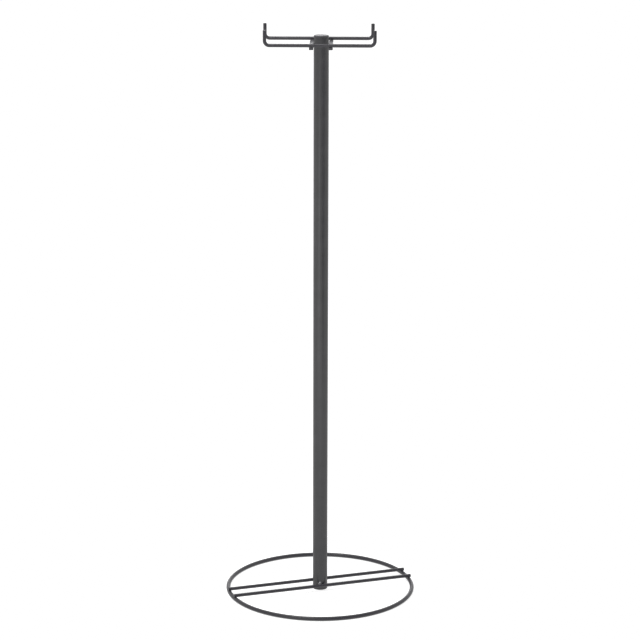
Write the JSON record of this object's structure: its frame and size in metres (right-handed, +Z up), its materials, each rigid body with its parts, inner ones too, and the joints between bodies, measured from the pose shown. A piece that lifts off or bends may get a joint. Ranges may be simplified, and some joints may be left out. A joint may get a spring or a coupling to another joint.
{
  "type": "coat stand",
  "caption": "Free-standing coat rack: a round post on a wire ring foot with crossing rods, and wire bars with upturned hook ends at the top.",
  "frame": {"origin": "on the post axis at floor level", "axes": "+X along the hook bars, -Y to the front, +Z up the post"},
  "size_m": [0.5, 0.5, 1.5],
  "materials": {
    "coated_steel": "fine matt powder coat, anthracite",
    "black_plastic": "moulded, matt",
    "zinc_steel": "dull zinc plate"
  },
  "bodies": {
    "root": {"post": "coated_steel", "foot_ring": "coated_steel", "foot_rod_front": "coated_steel", "foot_rod_back": "coated_steel", "foot_through_bar": "coated_steel", "hook_bar_front": "coated_steel", "hook_bar_back": "coated_steel", "cross_bar_left": "coated_steel", "cross_bar_right": "coated_steel", "weld_foot_front_left": "coated_steel", "weld_foot_front_right": "coated_steel", "weld_foot_back_left": "coated_steel", "weld_foot_back_right": "coated_steel", "weld_hook_front_left": "coated_steel", "weld_hook_front_right": "coated_steel", "weld_hook_back_left": "coated_steel", "weld_hook_back_right": "coated_steel", "weld_post_front_left": "coated_steel", "weld_post_front_right": "coated_steel", "weld_post_back_left": "coated_steel", "weld_post_back_right": "coated_steel", "top_cap": "black_plastic", "foot_plug": "black_plastic", "foot_screw": "zinc_steel"}
  },
  "joints": []
}
